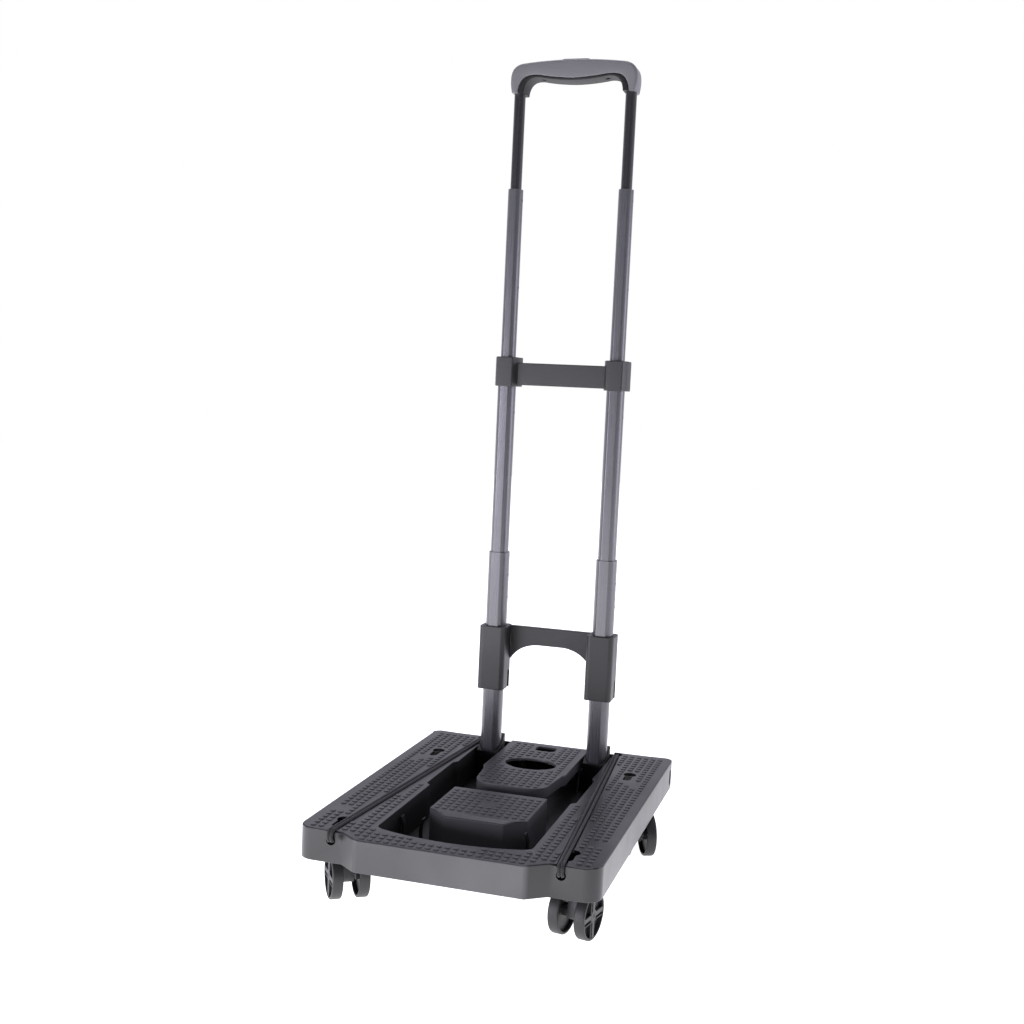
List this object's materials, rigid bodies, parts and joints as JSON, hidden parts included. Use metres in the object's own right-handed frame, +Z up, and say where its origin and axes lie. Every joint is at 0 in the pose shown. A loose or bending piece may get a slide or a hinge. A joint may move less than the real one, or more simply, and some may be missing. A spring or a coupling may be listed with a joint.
{
  "type": "folding platform cart",
  "caption": "Folding platform cart: a low moulded deck on twin-wheel swivel casters, with a telescopic handle that slides down and folds into the deck.",
  "frame": {"origin": "centre of the footprint on the ground", "axes": "+Z up along the poles, -Y towards the nose bar, +Y towards the handle, +X to the right"},
  "size_m": [0.302, 0.394, 0.8558],
  "materials": {
    "body_plastic": "fine moulded texture with a raised grip pattern on top",
    "grip_plastic": "satin moulded plastic",
    "bracket_plastic": "satin moulded plastic",
    "inner_plastic": "matt moulded plastic",
    "wheel_plastic": "matt moulded plastic",
    "tube_metal": "dark grey painted tube",
    "steel": "plain bright steel",
    "elastic_cord": "braided elastic sleeve"
  },
  "bodies": {
    "deck": {"deck": "body_plastic", "front_block": "body_plastic", "rear_cover": "body_plastic", "pivot_pin_left": "steel", "pivot_pin_right": "steel", "cord_left": "elastic_cord", "cord_right": "elastic_cord", "caster_socket_front_left": "inner_plastic", "caster_socket_front_right": "inner_plastic", "caster_socket_rear_left": "inner_plastic", "caster_socket_rear_right": "inner_plastic"},
    "handle_base": {"tube_a_left": "tube_metal", "tube_a_right": "tube_metal", "knuckle_left": "inner_plastic", "knuckle_right": "inner_plastic"},
    "lock_slider": {"lock_slider": "bracket_plastic"},
    "stage_b": {"tube_b_left": "tube_metal", "tube_b_right": "tube_metal", "guide_plug_b_left": "inner_plastic", "guide_plug_b_right": "inner_plastic", "upper_bracket": "bracket_plastic"},
    "stage_c": {"tube_c_left": "tube_metal", "tube_c_right": "tube_metal", "guide_plug_c_left": "inner_plastic", "guide_plug_c_right": "inner_plastic"},
    "stage_d": {"tube_d_left": "tube_metal", "tube_d_right": "tube_metal", "guide_plug_d_left": "inner_plastic", "guide_plug_d_right": "inner_plastic", "grip_top": "grip_plastic", "grip_bottom": "inner_plastic", "grip_screw_left": "steel", "grip_screw_right": "steel", "button_spring": "steel"},
    "button": {"release_button": "inner_plastic", "release_yoke": "inner_plastic", "release_rod_left": "steel", "release_rod_right": "steel"},
    "caster_front_left": {"caster_stem_front_left": "steel", "caster_body_front_left": "bracket_plastic", "caster_axle_front_left": "steel"},
    "wheel_front_left_a": {"wheel_front_left_a": "wheel_plastic"},
    "wheel_front_left_b": {"wheel_front_left_b": "wheel_plastic"},
    "caster_front_right": {"caster_stem_front_right": "steel", "caster_body_front_right": "bracket_plastic", "caster_axle_front_right": "steel"},
    "wheel_front_right_a": {"wheel_front_right_a": "wheel_plastic"},
    "wheel_front_right_b": {"wheel_front_right_b": "wheel_plastic"},
    "caster_rear_left": {"caster_stem_rear_left": "steel", "caster_body_rear_left": "bracket_plastic", "caster_axle_rear_left": "steel"},
    "wheel_rear_left_a": {"wheel_rear_left_a": "wheel_plastic"},
    "wheel_rear_left_b": {"wheel_rear_left_b": "wheel_plastic"},
    "caster_rear_right": {"caster_stem_rear_right": "steel", "caster_body_rear_right": "bracket_plastic", "caster_axle_rear_right": "steel"},
    "wheel_rear_right_a": {"wheel_rear_right_a": "wheel_plastic"},
    "wheel_rear_right_b": {"wheel_rear_right_b": "wheel_plastic"}
  },
  "joints": [
    {"name": "handle_fold", "type": "hinge", "parent": "deck", "child": "handle_base", "pos_m": [0, 0.159, 0.058], "axis": [1, 0, 0], "range_deg": [0, 83]},
    {"name": "lock_slide", "type": "slide", "parent": "handle_base", "child": "lock_slider", "axis": [0, 0, 1], "range_m": [-0.056, 0]},
    {"name": "stage_b_slide", "type": "slide", "parent": "handle_base", "child": "stage_b", "axis": [0, 0, -1], "range_m": [0, 0.188]},
    {"name": "stage_c_slide", "type": "slide", "parent": "stage_b", "child": "stage_c", "axis": [0, 0, -1], "range_m": [0, 0.185]},
    {"name": "stage_d_slide", "type": "slide", "parent": "stage_c", "child": "stage_d", "axis": [0, 0, -1], "range_m": [0, 0.103]},
    {"name": "button_press", "type": "slide", "parent": "stage_d", "child": "button", "axis": [0, 0, -1], "range_m": [0, 0.003], "stiffness_N_per_m": 700, "springref_m": -0.002, "deforming": ["button_spring"]},
    {"name": "swivel_front_left", "type": "hinge", "parent": "deck", "child": "caster_front_left", "pos_m": [-0.119, -0.128, 0.049], "axis": [0, 0, 1], "continuous": true},
    {"name": "roll_front_left_a", "type": "hinge", "parent": "caster_front_left", "child": "wheel_front_left_a", "pos_m": [-0.12105, -0.14774, 0.023], "axis": [0.8192, 0.5736, 0], "continuous": true},
    {"name": "roll_front_left_b", "type": "hinge", "parent": "caster_front_left", "child": "wheel_front_left_b", "pos_m": [-0.09975, -0.13283, 0.023], "axis": [0.8192, 0.5736, 0], "continuous": true},
    {"name": "swivel_front_right", "type": "hinge", "parent": "deck", "child": "caster_front_right", "pos_m": [0.119, -0.128, 0.049], "axis": [0, 0, 1], "continuous": true},
    {"name": "roll_front_right_a", "type": "hinge", "parent": "caster_front_right", "child": "wheel_front_right_a", "pos_m": [0.10338, -0.14024, 0.023], "axis": [0.9816, -0.1908, 0], "continuous": true},
    {"name": "roll_front_right_b", "type": "hinge", "parent": "caster_front_right", "child": "wheel_front_right_b", "pos_m": [0.1289, -0.1452, 0.023], "axis": [0.9816, -0.1908, 0], "continuous": true},
    {"name": "swivel_rear_left", "type": "hinge", "parent": "deck", "child": "caster_rear_left", "pos_m": [-0.119, 0.101, 0.049], "axis": [0, 0, 1], "continuous": true},
    {"name": "roll_rear_left_a", "type": "hinge", "parent": "caster_rear_left", "child": "wheel_rear_left_a", "pos_m": [-0.11356, 0.12009, 0.023], "axis": [-0.9063, -0.4226, 0], "continuous": true},
    {"name": "roll_rear_left_b", "type": "hinge", "parent": "caster_rear_left", "child": "wheel_rear_left_b", "pos_m": [-0.13712, 0.1091, 0.023], "axis": [-0.9063, -0.4226, 0], "continuous": true},
    {"name": "swivel_rear_right", "type": "hinge", "parent": "deck", "child": "caster_rear_right", "pos_m": [0.119, 0.101, 0.049], "axis": [0, 0, 1], "continuous": true},
    {"name": "roll_rear_right_a", "type": "hinge", "parent": "caster_rear_right", "child": "wheel_rear_right_a", "pos_m": [0.11356, 0.08191, 0.023], "axis": [0.9063, 0.4226, 0], "continuous": true},
    {"name": "roll_rear_right_b", "type": "hinge", "parent": "caster_rear_right", "child": "wheel_rear_right_b", "pos_m": [0.13712, 0.0929, 0.023], "axis": [0.9063, 0.4226, 0], "continuous": true}
  ]
}
